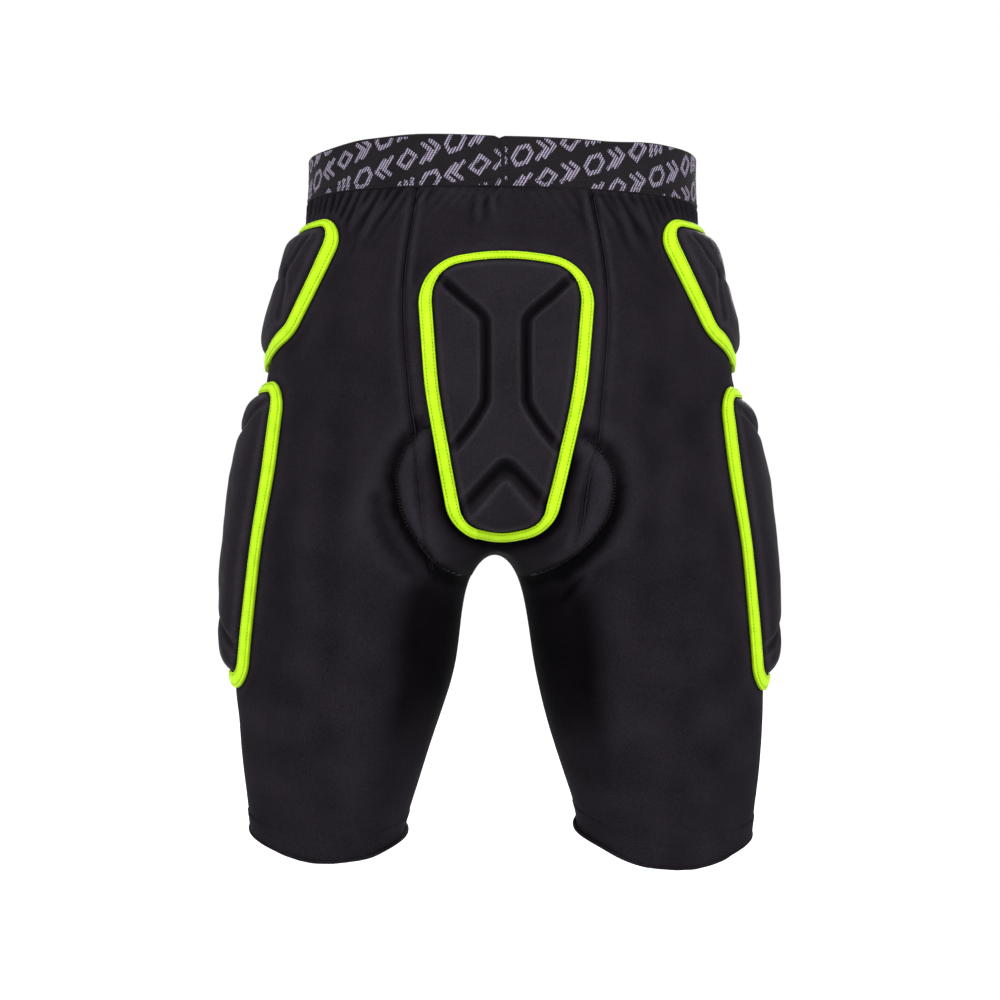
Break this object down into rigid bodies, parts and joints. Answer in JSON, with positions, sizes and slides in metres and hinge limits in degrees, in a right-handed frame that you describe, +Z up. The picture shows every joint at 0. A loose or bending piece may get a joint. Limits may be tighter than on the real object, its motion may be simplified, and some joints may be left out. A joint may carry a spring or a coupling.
{
  "type": "padded impact shorts",
  "caption": "Close-fitting black stretch shorts with a wide elastic waistband and tape-bound foam pads over the tailbone, hips and outer thighs.",
  "frame": {"origin": "centre of the waist opening at half the height of the waistband", "axes": "+Z up along the worn garment, +Y the way the wearer faces, +X the wearer's right"},
  "size_m": [0.3942, 0.2282, 0.4837],
  "materials": {
    "stretch_knit": "matt four-way stretch knit with a faint sheen",
    "waistband_elastic": "ribbed woven elastic with a pale woven slanted-bar pattern",
    "hem_knit": "folded knit with one stitched row",
    "chamois": "brushed padding",
    "pad_cover_knit": "stretch knit moulded over foam",
    "pad_lining": "thin backing knit",
    "pad_foam": "closed-cell foam",
    "binding_tape": "bright folded tape with two stitched rows"
  },
  "bodies": {
    "root": {"centre_back_panel": "stretch_knit", "centre_front_panel": "stretch_knit", "crotch_gusset": "stretch_knit", "left_hem": "hem_knit", "left_hip_pad_binding": "binding_tape", "left_hip_pad_cover": "pad_cover_knit", "left_hip_pad_foam_lower": "pad_foam", "left_hip_pad_foam_upper": "pad_foam", "left_hip_pad_lining": "pad_lining", "left_leg_panel": "stretch_knit", "left_thigh_pad_binding": "binding_tape", "left_thigh_pad_cover": "pad_cover_knit", "left_thigh_pad_foam_bottom": "pad_foam", "left_thigh_pad_foam_middle": "pad_foam", "left_thigh_pad_foam_top": "pad_foam", "left_thigh_pad_lining": "pad_lining", "right_hem": "hem_knit", "right_hip_pad_binding": "binding_tape", "right_hip_pad_cover": "pad_cover_knit", "right_hip_pad_foam_lower": "pad_foam", "right_hip_pad_foam_upper": "pad_foam", "right_hip_pad_lining": "pad_lining", "right_leg_panel": "stretch_knit", "right_thigh_pad_binding": "binding_tape", "right_thigh_pad_cover": "pad_cover_knit", "right_thigh_pad_foam_bottom": "pad_foam", "right_thigh_pad_foam_middle": "pad_foam", "right_thigh_pad_foam_top": "pad_foam", "right_thigh_pad_lining": "pad_lining", "seat_chamois": "chamois", "tail_pad_binding": "binding_tape", "tail_pad_cover": "pad_cover_knit", "tail_pad_foam_base": "pad_foam", "tail_pad_foam_left": "pad_foam", "tail_pad_foam_right": "pad_foam", "tail_pad_foam_spine": "pad_foam", "tail_pad_lining": "pad_lining", "waistband": "waistband_elastic"}
  },
  "joints": []
}
